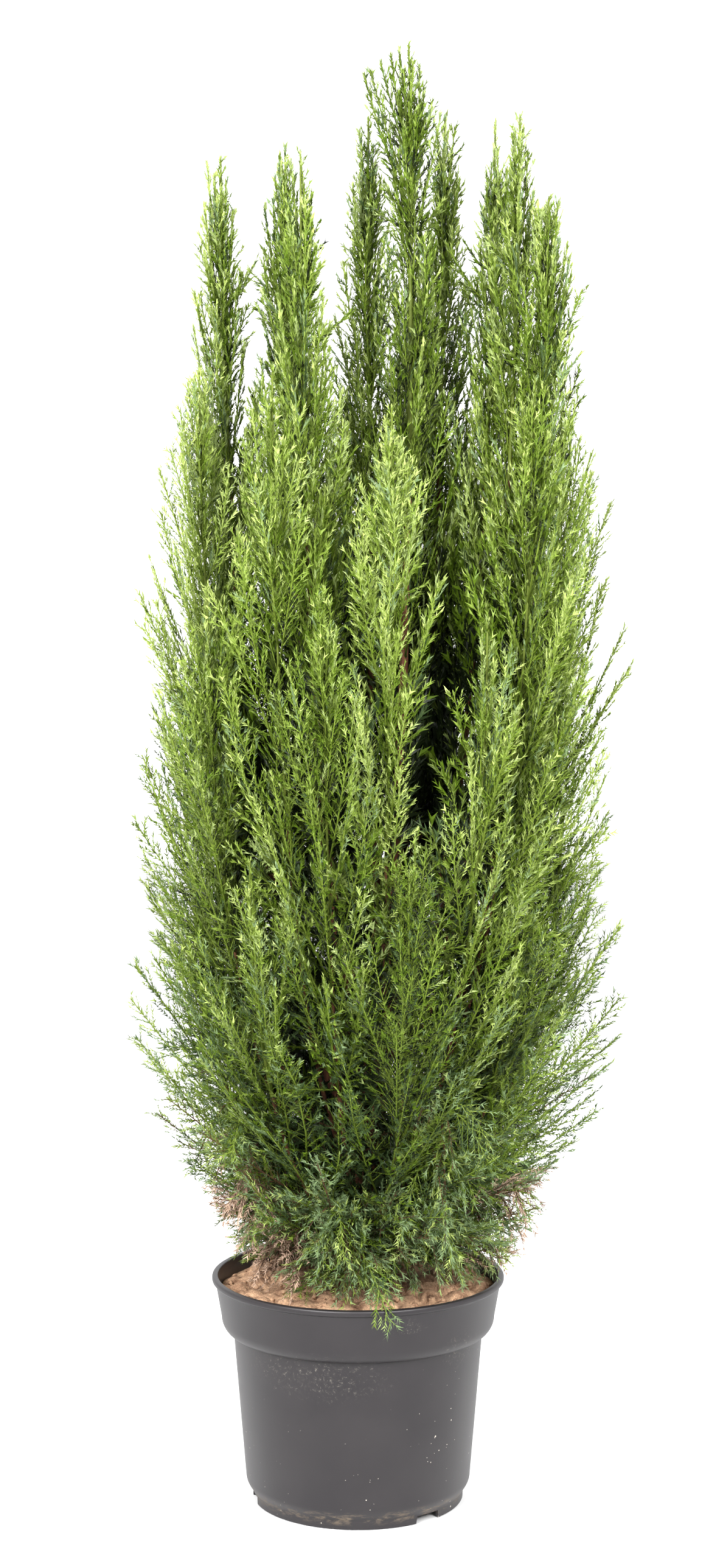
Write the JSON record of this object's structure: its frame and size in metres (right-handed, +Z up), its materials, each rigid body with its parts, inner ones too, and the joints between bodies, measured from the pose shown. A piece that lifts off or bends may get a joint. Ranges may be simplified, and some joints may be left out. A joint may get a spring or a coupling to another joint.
{
  "type": "potted conifer",
  "caption": "Potted lawson cypress: a dense upright column of feathery plumes on slender boughs and a short flared trunk, growing in a tapered nursery pot with a banded rim.",
  "frame": {"origin": "On the floor under the pot's axis, at the middle of the flat pad of the pot's underside.", "axes": "+Z up along the pot's axis and the plant's height, -Y to the front, +X to the front's right."},
  "size_m": [0.4649, 0.4641, 1.383],
  "materials": {
    "pot": "semi-gloss, scuffed",
    "soil": "dry, crumbly, lumpy",
    "bark": "red-brown, stringy bark",
    "foliage": "fresh green needles",
    "foliage_low": "waxy blue-green needles"
  },
  "bodies": {
    "root": {"pot": "pot", "soil": "soil", "trunk": "bark", "bough_left_back": "bark", "bough_left": "bark", "bough_left_front": "bark", "bough_rear_left": "bark", "bough_rear": "bark", "bough_rear_far": "bark", "bough_rear_right": "bark", "bough_right": "bark", "bough_right_front": "bark", "bough_right_low": "bark", "plume_top": "foliage", "plume_left_back": "foliage", "plume_left": "foliage", "plume_left_front": "foliage", "plume_rear_left": "foliage", "plume_rear": "foliage", "plume_rear_far": "foliage", "plume_rear_right": "foliage", "plume_right": "foliage", "plume_right_front": "foliage", "plume_right_low": "foliage", "plume_upper_1": "foliage", "plume_upper_2": "foliage", "plume_upper_3": "foliage", "plume_upper_4": "foliage", "plume_upper_5": "foliage", "plume_upper_6": "foliage", "plume_upper_7": "foliage", "plume_upper_8": "foliage", "plume_middle_1": "foliage", "plume_middle_2": "foliage", "plume_middle_3": "foliage", "plume_middle_4": "foliage", "plume_middle_5": "foliage", "plume_middle_6": "foliage", "plume_middle_7": "foliage", "plume_middle_8": "foliage", "plume_lower_1": "foliage_low", "plume_lower_2": "foliage_low", "plume_lower_3": "foliage_low", "plume_lower_4": "foliage_low", "plume_lower_5": "foliage_low", "plume_lower_6": "foliage_low", "plume_lower_7": "foliage_low", "plume_lower_8": "foliage_low", "plume_skirt_1": "foliage_low", "plume_skirt_2": "foliage_low", "plume_skirt_3": "foliage_low", "plume_skirt_4": "foliage_low", "plume_skirt_5": "foliage_low", "plume_skirt_6": "foliage_low", "plume_skirt_7": "foliage_low", "plume_skirt_8": "foliage_low"}
  },
  "joints": []
}
